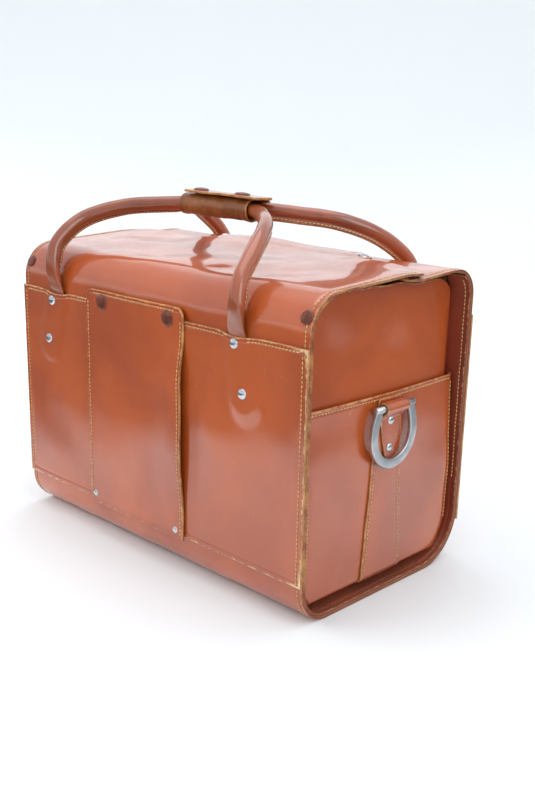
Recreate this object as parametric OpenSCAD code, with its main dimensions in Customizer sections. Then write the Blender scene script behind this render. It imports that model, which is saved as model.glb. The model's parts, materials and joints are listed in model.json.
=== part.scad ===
/* [Case] */
// Length of the case, end rim to end rim
case_l = 408; // [380:2:430]
// Depth of the case, front leather to rear leather
case_d = 228; // [222:2:240]
// Height of the case at the rear of its top
case_h = 292; // [286:1:300]
// Thickness of the outer leather
hide = 2.5; // [2:0.1:2.6]
// Height at which the two top flaps fold
fold_z = 260; // [259:1:262]

/* [Handles] */
// Diameter of a rolled handle
roll_d = 14; // [13:0.5:14]
// Width of a handle's flat tab
tab_w = 24; // [20:1:25]

/* [End pockets] */
// Height of an end pocket's mouth
mouth_z = 189; // [180:1:195]
// How far an end panel sits inside the rim
recess = 20; // [20:1:21]

/* [Rings] */
// Outside width of a carrying ring
ring_w = 65; // [60:1:68]

/* [Hidden] */
$fn = 48;

hx = case_l / 2;              // half length
hy = case_d / 2;              // half depth
play = 0.3;                   // air between two leathers that move apart
cloth = 1.2;                  // lining leather
board = 3;                    // stiff base board
end_x = hx - recess;          // outer face of an end panel
inner_x = end_x - hide;       // inner face of an end panel
rust = "#b4562f";
rust_dark = "#8f3f20";
tan = "#d9a65e";
suede = "#b98a5e";
nickel = "#c9ced2";
snap_brown = "#4b2418";

// Corner arcs of the case seen from its end: [y, z, radius]
low_front = [-hy + 34, 34, 34];
low_rear = [hy - 52, 52, 52];
top_rear = [hy - 26, case_h - 26, 26];
top_front = [-hy + 35, case_h - 37, 35];
flap_tilt = 3.1;              // front flap's rise towards its free edge, degrees
arc_steps = 12;               // flat strips around the front flap's bend
front_edge_y = 42;            // free edge of the front flap
rear_edge_y = 18;             // free edge of the rear flap, below the front one
front_cloth_y = 15;           // the front flap's lining stops short of the rear flap
panel_top = 246.5;            // top edge of the overlay panels
panel_foot = 38.5;            // bottom edge of the overlay panels
end_top = case_h - 5.2;       // top edge of the end panels

// Handle tabs: [x at the top edge, x at the lower end], the two rivets as [x, z]
tab_tops = [-141, 122.5];
tab_feet = [-157, 134];
tab_foot_z = 188;
rivets_left = [[-149, 236.5], [-156, 196]];
rivets_right = [[121, 238], [132.5, 196]];
tab_t = 2;                    // thickness of a tab
handle_y = -hy - 5.3;         // axis of the handles' swing
handle_z = 251;
foot_r = 4.4;                 // rounded lower end of a handle's foot
rivet_r = 5;                  // dome of a rivet
shank_r = 1.8;                // shank of a rivet

// Front flap over the pocket slot
strap_l = -88.5;
strap_r = 56;
strap_low = 36;
strap_high = 258;
strap_fold = 52;              // the flap folds here, above its fixed foot
strap_t = 2.5;
strap_snaps = [[-63, 247], [34.5, 246]];
strap_rivets = [[-80, 46], [45.5, 44.5]];
snap_r = 7.7;                 // cap of a press stud
socket_r = 3.2;               // socket's bore
post_r = 2;                   // post of a press stud
post_h = 1.2;
cap_h = 2.2;

// Snaps at the four upper corners, and the two on the closing tab
corner_x = hx - 8;
corner_z = 271;
corner_cap_r = 6.2;
tab_snaps_x = [-92, 104];
tab_snap_y = 70;
closing_x = [-104, 116];
closing_y = 82;

// Grip around both handles
grip_x = [-67, 30];
grip_y = 17.6;                // half depth of the sleeve
grip_low = 325.5;
grip_high = 346.5;
grip_t = 2.2;
cover_x = [-62, 45];
cover_y = [-18, 6];
cover_z = 347;
grip_snap_x = [-45, 14];
grip_snap_y = -7;
handle_gap = 7.6;             // each handle's distance from the middle inside the grip

// Carrying rings
bar_z = 178.5;
bar_x = hx + 0.8;
bar_r = 3.2;
tab_roll_r = 5.75;
ring_t = 4.5;
ring_band = 9;

function flap_z(y) = top_front[1] + top_front[2] / cos(flap_tilt)
    + (y - top_front[0]) * tan(flap_tilt);

// ---- outlines, seen from the end: x is depth, y is height ----
module corner(c, inset) { translate([c[0], c[1]]) circle(r = c[2] - inset); }

module case_outline(inset = 0) {
    lf = low_front;
    lr = low_rear;
    tr = top_rear;
    tf = top_front;
    polygon([
        [-hy + inset, lf[1]], [lf[0], inset], [lr[0], inset], [hy - inset, lr[1]],
        [hy - inset, tr[1]], [tr[0], tr[1] + tr[2] - inset],
        [tf[0], tf[1] + tf[2] - inset], [-hy + inset, tf[1]]
    ]);
    for (c = [lf, lr, tr, tf]) corner(c, inset);
}

// Region under the front flap's curve, as far back as the line y = back
module under_front_flap(inset, back) {
    tf = top_front;
    r = tf[2] - inset;
    arc = [for (k = [0:arc_steps]) let (a = 180 - (90 - flap_tilt) * k / arc_steps)
        [tf[0] + r * cos(a), tf[1] + r * sin(a)]];
    polygon(concat([[-hy + inset, fold_z - 60]], arc,
        [[back, flap_z(back) - inset / cos(flap_tilt)], [back, fold_z - 60]]));
}

module band(low, high) { translate([-2 * hy, low]) square([4 * hy, high - low]); }

// Extrudes an end-view outline along the length, between two x values
module along(x0, x1) {
    translate([x0, 0, 0]) rotate([90, 0, 90]) linear_extrude(x1 - x0) children();
}

// Extrudes a front-view outline (x, z) backwards from the plane y = y0
module slab(y0, t) {
    translate([0, y0 + t, 0]) rotate([90, 0, 0]) linear_extrude(t) children();
}

// Extrudes an end-panel outline (y, z) outwards on one end; side is 1 or -1
module on_end(side, x0, x1) {
    along(side > 0 ? x0 : -x1, side > 0 ? x1 : -x0) children();
}

module round_rect(x0, y0, x1, y1, r) {
    translate([x0 + r, y0]) square([x1 - x0 - 2 * r, y1 - y0]);
    translate([x0, y0 + r]) square([x1 - x0, y1 - y0 - 2 * r]);
    for (x = [x0 + r, x1 - r], y = [y0 + r, y1 - r]) translate([x, y]) circle(r = r);
}

// Shallow dome on a flat face, axis +Z
module dome(r, h) {
    sphere_r = (r * r + h * h) / (2 * h);
    intersection() {
        translate([0, 0, h - sphere_r]) sphere(r = sphere_r);
        cylinder(r = r, h = h);
    }
}

// A press stud's cap: dome outside the leather, socket through it, axis +Z
module snap_cap(r, through) {
    dome(r, cap_h);
    translate([0, 0, -through]) difference() {
        cylinder(r = socket_r + 1, h = through + 0.2);
        translate([0, 0, -1]) cylinder(r = socket_r, h = through + 0.5);
    }
}

// A rivet: dome outside, shank through the leathers, flat head inside, axis +Z
module rivet(r, h, through) {
    dome(r, h);
    translate([0, 0, -through]) cylinder(r = shank_r, h = through + 0.2);
    translate([0, 0, -through - 1]) cylinder(r = r * 0.85, h = 1);
}

// Turns +Z to face outwards from the front (-1) or the rear (+1) at a height
module facing(side, x, y, z) {
    translate([x, side * y, z]) rotate([side > 0 ? -90 : 90, 0, 0]) children();
}

module all_handle_rivet_places(side, y) {
    for (p = concat(rivets_left, rivets_right)) facing(side, p[0], y, p[1]) children();
}

// ---- case ----
module outer_wrap() {
    color(rust) difference() {
        along(-hx, hx) intersection() {
            difference() {
                case_outline();
                case_outline(hide);
            }
            band(-1, fold_z);
        }
        for (side = [-1, 1]) all_handle_rivet_places(side, hy - 10)
            cylinder(r = shank_r, h = 20);
    }
}

module lining() {
    color(suede) difference() {
        along(-inner_x, inner_x) intersection() {
            difference() {
                case_outline(hide);
                case_outline(hide + cloth);
            }
            band(-1, fold_z - 2);
        }
        for (side = [-1, 1]) all_handle_rivet_places(side, hy - 10)
            cylinder(r = shank_r, h = 20);
    }
}

module bottom_board() {
    edge = 12;
    color(suede) translate([0, 0, hide + cloth]) linear_extrude(board)
        round_rect(-inner_x + 1, low_front[0] + edge, inner_x - 1, low_rear[0] - edge, 8);
}

// A handle tab seen from the front, grown all round by extra
module tab_outline(top_x, low_x, extra = 0) {
    lean = atan2(top_x - low_x, panel_top - tab_foot_z);
    r = tab_w / 2 + extra;
    translate([low_x, tab_foot_z]) {
        circle(r = r);
        rotate(-lean) translate([-r, 0]) square([2 * r, 90]);
    }
}

module both_tab_outlines(extra = 0) {
    for (i = [0, 1]) tab_outline(tab_tops[i], tab_feet[i], extra);
}

module below(z) {
    intersection() {
        children();
        translate([-2 * hx, 0]) square([4 * hx, z]);
    }
}

// An overlay panel on the front; it swells over the handle tabs
module overlay_panel() {
    tab_air = 0.05;
    difference() {
        union() {
            slab(-hy - hide, hide)
                translate([-hx, panel_foot]) square([case_l, panel_top - panel_foot]);
            slab(-hy - hide - tab_t, hide + tab_t) below(panel_top - 1.5) both_tab_outlines(3);
        }
        slab(-hy - tab_t - tab_air, tab_t + tab_air + 1) both_tab_outlines(tab_air);
        all_handle_rivet_places(-1, hy - 10) cylinder(r = shank_r, h = 20);
    }
}

module front_panel() {
    slot = [-62, 70, 28, 225];     // window behind the flap, into both flat pockets
    color(rust) difference() {
        union() {
            overlay_panel();
            slab(-hy - hide, hide) round_rect(strap_l + 12, 200, strap_r - 9, 256, 8);
        }
        slab(-hy - 20, 40) round_rect(slot[0], slot[1], slot[2], slot[3], 10);
        for (p = strap_rivets) facing(-1, p[0], hy - 10, p[1]) cylinder(r = shank_r, h = 20);
    }
}

module rear_panel() {
    color(rust) mirror([0, 1, 0]) overlay_panel();
}

module handle_tabs() {
    color(rust_dark) difference() {
        slab(-hy - tab_t, tab_t) below(panel_top) both_tab_outlines();
        all_handle_rivet_places(-1, hy - 10) cylinder(r = shank_r, h = 20);
    }
}

module front_handle_tabs() { handle_tabs(); }

module rear_handle_tabs() { mirror([0, 1, 0]) handle_tabs(); }

module handle_rivets(side) {
    outside = hy + hide + tab_t;
    stack = outside - (hy - hide - cloth);
    color(nickel) all_handle_rivet_places(side, outside) rivet(rivet_r, 2.8, stack);
}

module front_handle_rivets() { handle_rivets(-1); }

module rear_handle_rivets() { handle_rivets(1); }

// ---- ends ----
module end_outline(inset) {
    intersection() {
        case_outline(hide + inset);
        band(-1, end_top);
    }
}

// Plate and turned-out flange, a hair smaller where the flaps move
module end_panel(side) {
    flange_x = hx - 0.5;
    color(rust) difference() {
        union() {
            on_end(side, inner_x, flange_x) intersection() {
                end_outline(0);
                band(-1, fold_z - 1);
            }
            on_end(side, inner_x, flange_x) end_outline(play);
        }
        on_end(side, end_x, hx + 5) case_outline(2 * hide + play);
    }
}

pocket_half = hy - 6;             // half width of an end pocket
pocket_low = 10.5;
pocket_x = hx - 7;                // outer face of the pocket
pocket_t = 2.2;
shoulder = 12;

module pocket_plan(shrink) {
    intersection() {
        case_outline(2 * hide + 2 * play + shrink);
        translate([-pocket_half + shrink, pocket_low + shrink])
            square([2 * (pocket_half - shrink), mouth_z + 40 - pocket_low]);
    }
}

module pocket_body(side, skin) {
    hull() {
        on_end(side, end_x - 1, end_x + 2) pocket_plan(skin);
        on_end(side, end_x - 1, pocket_x - skin) pocket_plan(shoulder + skin);
    }
}

module end_pocket(side) {
    color(rust) intersection() {
        difference() {
            pocket_body(side, 0);
            pocket_body(side, pocket_t);
            for (z = ring_rivet_z) translate([side * end_x, 0, z]) rotate([0, side * 90, 0])
                cylinder(r = shank_r, h = 40);
        }
        on_end(side, end_x, hx) band(0, mouth_z);
    }
}

pleat_t = 2;
// Tapered strip down the middle of the pocket
module end_pleat(side) {
    color(rust) on_end(side, pocket_x, pocket_x + pleat_t) difference() {
        polygon([[-29, pocket_low + shoulder + 2], [29, pocket_low + shoulder + 2],
            [15.5, mouth_z - 3], [-15.5, mouth_z - 3]]);
        for (z = ring_rivet_z) translate([0, z]) circle(r = shank_r);
    }
}

ring_rivet_z = [165, 139.5];
tongue_low = 136;                 // centre of the tongue's round end
tongue_t = 2.3;
tongue_x = pocket_x + pleat_t;

// Leather loop that holds the ring: a roll above a tapered tongue
module ring_tab(side) {
    roll_half = 16;
    color(rust) difference() {
        union() {
            on_end(side, tongue_x, tongue_x + tongue_t) {
                polygon([[-roll_half, bar_z - 8], [-7, tongue_low], [7, tongue_low],
                    [roll_half, bar_z - 8], [roll_half, bar_z], [-roll_half, bar_z]]);
                translate([0, tongue_low]) circle(r = 7);
            }
            translate([side * bar_x, 0, bar_z]) rotate([90, 0, 0])
                cylinder(r = tab_roll_r, h = 2 * roll_half, center = true);
        }
        translate([side * bar_x, 0, bar_z]) rotate([90, 0, 0])
            cylinder(r = bar_r + 0.08, h = 100, center = true);
        for (z = ring_rivet_z) translate([side * hx, 0, z]) rotate([0, 90, 0])
            cylinder(r = shank_r, h = 40, center = true);
    }
}

module ring_tab_rivets() {
    face = tongue_x + tongue_t;
    stack = face - (pocket_x - pocket_t);
    color(nickel) for (side = [-1, 1], z = ring_rivet_z)
        translate([side * face, 0, z]) rotate([0, side * 90, 0]) rivet(4.3, 1.7, stack);
}

module ring(side) {
    bend_z = bar_z - 25;          // centre of the lower bend
    outer = ring_w / 2;
    inner = outer - ring_band;
    color(nickel) {
        on_end(side, bar_x - ring_t / 2, bar_x + ring_t / 2) difference() {
            union() {
                translate([0, bend_z]) circle(r = outer);
                polygon([[-outer, bend_z], [outer, bend_z],
                    [outer - 3, bar_z + 2], [-outer + 3, bar_z + 2]]);
            }
            translate([0, bend_z]) circle(r = inner);
            polygon([[-inner, bend_z], [inner, bend_z], [inner - 2, case_h], [2 - inner, case_h]]);
        }
        translate([side * bar_x, 0, bar_z]) rotate([90, 0, 0])
            cylinder(r = bar_r, h = 2 * (outer - 5), center = true);
    }
}

module end_panel_right() { end_panel(1); }
module end_panel_left() { end_panel(-1); }
module end_pocket_right() { end_pocket(1); }
module end_pocket_left() { end_pocket(-1); }
module end_pleat_right() { end_pleat(1); }
module end_pleat_left() { end_pleat(-1); }
module ring_tab_right() { ring_tab(1); }
module ring_tab_left() { ring_tab(-1); }
module ring_right() { ring(1); }
module ring_left() { ring(-1); }

// ---- handles ----
// Centre line of the front handle from its left foot to its right foot
handle_route = [
    [-141, handle_y, 247.3], [-141, handle_y, 251], [-141, -120.4, 260],
    [-141, -121.4, 275], [-145, -110.5, 298],
    [-141, -82, 319], [-119, -50, 331], [-90, -25, 334.8], [-76, -12.5, 335.6],
    [-66, -handle_gap - 0.1, 336], [-54, -handle_gap, 336], [-19, -handle_gap, 336],
    [17, -handle_gap, 336], [29, -handle_gap - 0.1, 336], [40, -12, 335.8], [60, -25, 334],
    [88, -50, 329.5], [109, -82, 316.5], [122, -111.5, 295], [127, -121.8, 274],
    [123.6, -120.4, 260], [122.5, handle_y, 251], [122.5, handle_y, 247.3]
];

// Catmull-Rom curve through the route
function ahead(p, i) = p[min(max(i, 0), len(p) - 1)];
function on_curve(p, i, t) =
    let (a = ahead(p, i - 1), b = p[i], c = ahead(p, i + 1), d = ahead(p, i + 2))
    0.5 * (2 * b + (c - a) * t + (2 * a - 5 * b + 4 * c - d) * t * t
        + (3 * b - a - 3 * c + d) * t * t * t);
function unit(v) = v / norm(v);
handle_steps = 3;
handle_line = [for (i = [0:len(handle_route) - 2], k = [0:handle_steps - 1])
    on_curve(handle_route, i, k / handle_steps), handle_route[len(handle_route) - 1]];

// How round the handle is at a height: 0 at the flat foot, 1 where it is fully rolled
function roundness(z) = min(1, max(0, (z - handle_z) / 30));
// How far the foot's thickness has closed in below the swing axis
function foot_curve(z) = sqrt(1 - pow(max(0, (handle_z - z) / foot_r), 2));
function mix(a, b, t) = a + (b - a) * t;

// One ring of points around the route: flat and wide at the feet, round above
function ring_points(line, i, r, sides) =
    let (n = len(line), ends = i == 0 || i == n - 1,
        dir = ends ? [0, 0, i == 0 ? 1 : -1] : unit(line[i + 1] - line[i - 1]),
        across = unit(cross([0, 1, 0.01], dir)), out = cross(dir, across),
        k = roundness(line[i][2]), wide = mix(r * 1.38, r, k),
        thin = mix(r * 0.52, r, k) * foot_curve(line[i][2]))
    [for (s = [0:sides - 1]) line[i] + across * wide * cos(360 * s / sides)
        + out * thin * sin(360 * s / sides)];

// Tube along the route; hollow when bore is more than zero
module tube(line, r, bore, sides) {
    n = len(line);
    outer = [for (i = [0:n - 1]) each ring_points(line, i, r, sides)];
    inner = bore > 0 ? [for (i = [0:n - 1]) each ring_points(line, i, bore, sides)] : [];
    far = n * sides;
    skin = [for (i = [0:n - 2], s = [0:sides - 1]) let (t = (s + 1) % sides)
        each [[i * sides + s, i * sides + t, (i + 1) * sides + s],
            [i * sides + t, (i + 1) * sides + t, (i + 1) * sides + s]]];
    hole = [for (f = skin) [f[0] + far, f[2] + far, f[1] + far]];
    last = (n - 1) * sides;
    rims = [for (s = [0:sides - 1]) let (t = (s + 1) % sides)
        each [[s, s + far, t], [t, s + far, t + far],
            [last + s, last + t, last + s + far], [last + t, last + t + far, last + s + far]]];
    lids = [[for (s = [sides - 1:-1:0]) s], [for (s = [0:sides - 1]) last + s]];
    polyhedron(points = concat(outer, inner),
        faces = bore > 0 ? concat(skin, hole, rims) : concat(skin, lids), convexity = 6);
}

core_r = roll_d / 2 - 3;

module handle() {
    color(rust) tube(handle_line, roll_d / 2, core_r, 12);
}

// Rope core, from above one foot to above the other
module handle_core() {
    skip = 6;
    line = [for (i = [skip:len(handle_line) - 1 - skip]) handle_line[i]];
    color(tan) tube(line, core_r - 0.2, 0, 12);
}

module front_handle() { handle(); }
module front_handle_core() { handle_core(); }
module rear_handle() { mirror([0, 1, 0]) handle(); }
module rear_handle_core() { mirror([0, 1, 0]) handle_core(); }

// ---- grip ----
module oval(half, low, high) {
    r = (high - low) / 2;
    translate([0, low + r]) {
        square([2 * (half - r), 2 * r], center = true);
        for (s = [-1, 1]) translate([s * (half - r), 0]) circle(r = r);
    }
}

module grip_sleeve() {
    color(rust_dark) along(grip_x[0], grip_x[1]) difference() {
        oval(grip_y, grip_low, grip_high);
        oval(grip_y - grip_t, grip_low + grip_t, grip_high - grip_t);
    }
}

module grip_studs() {
    color(nickel) for (x = grip_snap_x) translate([x, grip_snap_y, grip_high])
        cylinder(r = post_r, h = post_h);
}

module cover_plan() { round_rect(cover_x[0], cover_y[0], cover_x[1], cover_y[1], 6); }

module grip_cover() {
    color(rust) difference() {
        translate([0, 0, cover_z]) linear_extrude(hide) cover_plan();
        for (x = grip_snap_x) translate([x, grip_snap_y, 0])
            cylinder(r = socket_r + 1, h = 2 * case_h);
    }
}

module grip_cover_caps() {
    color(snap_brown) for (x = grip_snap_x)
        translate([x, grip_snap_y, cover_z + hide]) snap_cap(snap_r, hide);
}

// ---- top flaps ----
module front_flap_profile(from, to, back) {
    intersection() {
        difference() {
            under_front_flap(from, back);
            under_front_flap(to, back + 10);
        }
        band(fold_z + play, 2 * case_h);
    }
}

module closing_tab() {
    intersection() {
        along(closing_x[0], closing_x[1]) polygon([
            [front_edge_y - 1, flap_z(front_edge_y) - hide], [front_edge_y - 1, flap_z(front_edge_y)],
            [60, flap_z(front_edge_y) + 0.5], [closing_y, flap_z(front_edge_y) - 1],
            [closing_y, flap_z(front_edge_y) - 1 - hide], [60, flap_z(front_edge_y) + 0.5 - hide]
        ]);
        linear_extrude(2 * case_h)
            round_rect(closing_x[0], -closing_y, closing_x[1], closing_y, 20);
    }
}

module closing_snap_places(z) {
    for (x = tab_snaps_x) translate([x, tab_snap_y, z]) children();
}

module front_flap() {
    color(rust) difference() {
        union() {
            along(-hx, hx) front_flap_profile(0, hide, front_edge_y);
            closing_tab();
        }
        closing_snap_places(0) cylinder(r = socket_r + 1, h = 2 * case_h);
        for (x = [-corner_x, corner_x]) on_arc(-1, top_front, x, 10) cylinder(r = socket_r + 1, h = 20);
    }
}

module front_flap_lining() {
    color(suede) intersection() {
        along(-inner_x + play, inner_x - play) front_flap_profile(hide, hide + cloth, front_cloth_y);
        translate([-hx, -2 * hy, fold_z + 2]) cube([case_l, 4 * hy, case_h]);
    }
}

module rear_flap_profile(from, to, low) {
    intersection() {
        difference() {
            case_outline(from);
            case_outline(to);
        }
        translate([rear_edge_y, low]) square([2 * hy, case_h]);
    }
}

module rear_flap() {
    color(rust) difference() {
        along(-hx, hx) rear_flap_profile(0, hide, fold_z + play);
        for (x = [-corner_x, corner_x]) on_arc(1, top_rear, x, 10) cylinder(r = socket_r + 1, h = 20);
    }
}

module rear_flap_lining() {
    color(suede) along(-inner_x + play, inner_x - play)
        rear_flap_profile(hide, hide + cloth, fold_z + 2);
}

// Lays a snap square to the leather on an upper corner arc, axis outwards
module on_arc(side, c, x, inset) {
    lift = asin((corner_z - c[1]) / c[2]);
    translate([x, c[0], c[1]]) rotate([side > 0 ? lift : -lift, 0, 0])
        translate([0, side * (c[2] - inset), 0]) rotate([side > 0 ? -90 : 90, 0, 0]) children();
}

module front_corner_caps() {
    color(snap_brown) for (x = [-corner_x, corner_x])
        on_arc(-1, top_front, x, 0) snap_cap(corner_cap_r, hide);
}

module rear_corner_caps() {
    color(snap_brown) for (x = [-corner_x, corner_x])
        on_arc(1, top_rear, x, 0) snap_cap(corner_cap_r, hide);
}

module corner_studs() {
    color(nickel) for (x = [-corner_x, corner_x]) {
        on_arc(-1, top_front, x, hide + play) cylinder(r = post_r, h = post_h);
        on_arc(1, top_rear, x, hide + play) cylinder(r = post_r, h = post_h);
    }
}

module closing_tab_caps() {
    color(nickel) closing_snap_places(flap_z(front_edge_y) + 0.5) snap_cap(6.2, hide + 0.5);
}

module closing_tab_studs() {
    base = top_rear[1] + sqrt(pow(top_rear[2], 2) - pow(max(0, tab_snap_y - post_r - top_rear[0]), 2));
    color(nickel) closing_snap_places(base) cylinder(r = post_r, h = post_h);
}

// ---- front flap over the pocket slot ----
strap_y = -hy - hide - play - strap_t;

module strap_outline(low, high) {
    intersection() {
        round_rect(strap_l, strap_low - 20, strap_r, strap_high, 10);
        translate([-hx, low]) square([case_l, high - low]);
    }
}

module pocket_flap() {
    color(rust) difference() {
        slab(strap_y, strap_t) strap_outline(strap_fold + play, strap_high);
        for (p = strap_snaps) facing(-1, p[0], hy, p[1]) cylinder(r = socket_r + 1, h = 20);
    }
}

module pocket_flap_foot() {
    color(rust) difference() {
        slab(strap_y, strap_t + play) strap_outline(strap_low, strap_fold);
        for (p = strap_rivets) facing(-1, p[0], hy, p[1]) cylinder(r = shank_r, h = 20);
    }
}

module pocket_flap_caps() {
    color(snap_brown) for (p = strap_snaps)
        facing(-1, p[0], -strap_y, p[1]) snap_cap(snap_r, strap_t);
}

module pocket_flap_studs() {
    color(nickel) for (p = strap_snaps)
        facing(-1, p[0], hy + hide, p[1]) cylinder(r = post_r, h = post_h);
}

module pocket_flap_rivets() {
    color(nickel) for (p = strap_rivets) facing(-1, p[0], -strap_y, p[1]) {
        dome(3.5, 1.5);
        translate([0, 0, hy + strap_y]) cylinder(r = shank_r, h = -hy - strap_y + 0.2);
    }
}

outer_wrap();
lining();
bottom_board();
front_panel();
rear_panel();
end_panel_right();
end_panel_left();
end_pocket_right();
end_pocket_left();
end_pleat_right();
end_pleat_left();
ring_tab_right();
ring_tab_left();
ring_tab_rivets();
ring_right();
ring_left();
front_handle_tabs();
rear_handle_tabs();
front_handle_rivets();
rear_handle_rivets();
front_handle();
front_handle_core();
rear_handle();
rear_handle_core();
grip_sleeve();
grip_studs();
grip_cover();
grip_cover_caps();
front_flap();
front_flap_lining();
rear_flap();
rear_flap_lining();
closing_tab_caps();
closing_tab_studs();
front_corner_caps();
rear_corner_caps();
corner_studs();
pocket_flap();
pocket_flap_foot();
pocket_flap_caps();
pocket_flap_studs();
pocket_flap_rivets();
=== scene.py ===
"""A vintage leather doctor bag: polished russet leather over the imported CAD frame.

Sizes in this script are millimetres until a mesh is made. Places in materials, the lights and the
camera are in metres. Axes are the frame's: +X along the bag, -Y out of its front, +Z up.
"""
import json
import math

import bmesh
import bpy
import numpy as np
from mathutils import Matrix, Vector


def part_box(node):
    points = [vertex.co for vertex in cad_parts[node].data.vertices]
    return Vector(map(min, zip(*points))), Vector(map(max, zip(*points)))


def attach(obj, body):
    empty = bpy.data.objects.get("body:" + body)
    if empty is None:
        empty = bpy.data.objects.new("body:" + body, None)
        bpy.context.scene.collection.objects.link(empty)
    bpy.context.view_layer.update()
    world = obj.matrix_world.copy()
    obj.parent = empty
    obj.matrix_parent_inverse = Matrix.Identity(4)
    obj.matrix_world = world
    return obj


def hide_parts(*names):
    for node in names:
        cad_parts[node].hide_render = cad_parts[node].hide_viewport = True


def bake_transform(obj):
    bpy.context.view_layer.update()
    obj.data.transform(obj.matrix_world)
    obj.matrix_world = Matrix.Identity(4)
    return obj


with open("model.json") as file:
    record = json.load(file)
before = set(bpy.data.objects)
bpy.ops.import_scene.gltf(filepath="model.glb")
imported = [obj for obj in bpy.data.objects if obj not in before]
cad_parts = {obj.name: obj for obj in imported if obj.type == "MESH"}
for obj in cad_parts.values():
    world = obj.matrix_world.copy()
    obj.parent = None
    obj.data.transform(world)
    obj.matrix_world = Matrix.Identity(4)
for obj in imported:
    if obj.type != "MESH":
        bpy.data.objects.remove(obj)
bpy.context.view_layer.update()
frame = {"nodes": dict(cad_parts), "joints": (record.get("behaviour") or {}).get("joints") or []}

MM = 0.001
rng = np.random.default_rng(7)


# ---- sizes
def mm_box(node):
    """A node's lowest and highest corner in millimetres."""
    low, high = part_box(node)
    return np.array(low) / MM, np.array(high) / MM


def joint_place(name):
    """A joint's point in millimetres."""
    found = next(j for j in frame["joints"] if j["name"] == name)
    return np.array(found["pos_m"]) / MM


HALF_L = mm_box("outer_wrap")[1][0]
HALF_D = mm_box("outer_wrap")[1][1]
REAR_TOP = mm_box("rear_flap")[1][2]
HIDE = 2.5                      # outer leather
PANEL_FOOT, PANEL_TOP = mm_box("rear_panel")[0][2], mm_box("rear_panel")[1][2]
SEAM = 5.5                      # a seam's distance from the edge
TOP_SEAM = 3.5                  # the same, along the tops of panels and pockets
PITCH = 3.9                     # stitch to stitch
TAB_TOPS, TAB_FEET, TAB_FOOT_Z, TAB_HALF = (-141, 122.5), (-157, 134), 188, 12
RIVETS = ((-149, 236.5), (-156, 196), (121, 238), (132.5, 196))
STRAP_X = (mm_box("pocket_flap")[0][0], mm_box("pocket_flap")[1][0])
STRAP_Z = (mm_box("pocket_flap_foot")[0][2], mm_box("pocket_flap")[1][2])
STRAP_Y = mm_box("pocket_flap")[0][1]
STRAP_SNAPS = ((-63, 247), (34.5, 246))
STRAP_RIVETS = ((-80, 46), (45.5, 44.5))


# ---- small maths
def smooth(t):
    """Eases from 0 to 1 as t goes from 0 to 1."""
    t = np.clip(t, 0.0, 1.0)
    return t * t * (3 - 2 * t)


def rise(x, start, width):
    """Eases from 0 to 1 over a width that starts at a place."""
    return smooth((x - start) / width)


def fall(x, end, width):
    """Eases from 1 to 0 over a width that ends at a place."""
    return smooth((end - x) / width)


def bump(x, centre, width):
    """A bell of height 1."""
    return np.exp(-((x - centre) / width) ** 2)


def unit(v):
    """One vector at length 1."""
    return v / np.linalg.norm(v)


def units(rows):
    """Rows of vectors at length 1."""
    return rows / np.linalg.norm(rows, axis=1)[:, None]


def lengths(points):
    """Distance along a line at each of its points."""
    return np.append(0, np.cumsum(np.linalg.norm(np.diff(points, axis=0), axis=1)))


def waves(a, b, scale, seed):
    """Smooth seeded noise over two lengths, about -1 to 1."""
    draw = np.random.default_rng(seed)
    total = 0.0
    for _ in range(7):
        angle, phase = draw.uniform(0, 2 * math.pi, 2)
        size = draw.uniform(0.6, 1.6) / scale
        total = total + np.sin(2 * math.pi * size * (a * math.cos(angle) + b * math.sin(angle)) + phase)
    return total / 3.5


def stops(low, high, step, lines=(), ends=(1, 1)):
    """Grid positions from low to high, close together at cut ends and around seam lines."""
    near = (0, 0.15, 0.45, 0.9, 1.8, 3.6, SEAM - 1.2, SEAM - 0.6, SEAM, SEAM + 0.6, SEAM + 1.2)
    fixed = {low, high}
    fixed |= {low + e for e in near} if ends[0] else set()
    fixed |= {high - e for e in near} if ends[1] else set()
    for line in lines:
        fixed |= {line + d for d in (-1.2, -0.6, 0, 0.6, 1.2)}
    fixed = sorted(p for p in fixed if low <= p <= high)
    out = [fixed[0]]
    for p in fixed[1:]:
        gap = p - out[-1]
        if gap < 0.05:
            continue
        count = max(1, int(round(gap / step)))
        out += [out[-1] + gap * (k + 1) / count for k in range(count)]
    return np.array(out)


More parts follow.
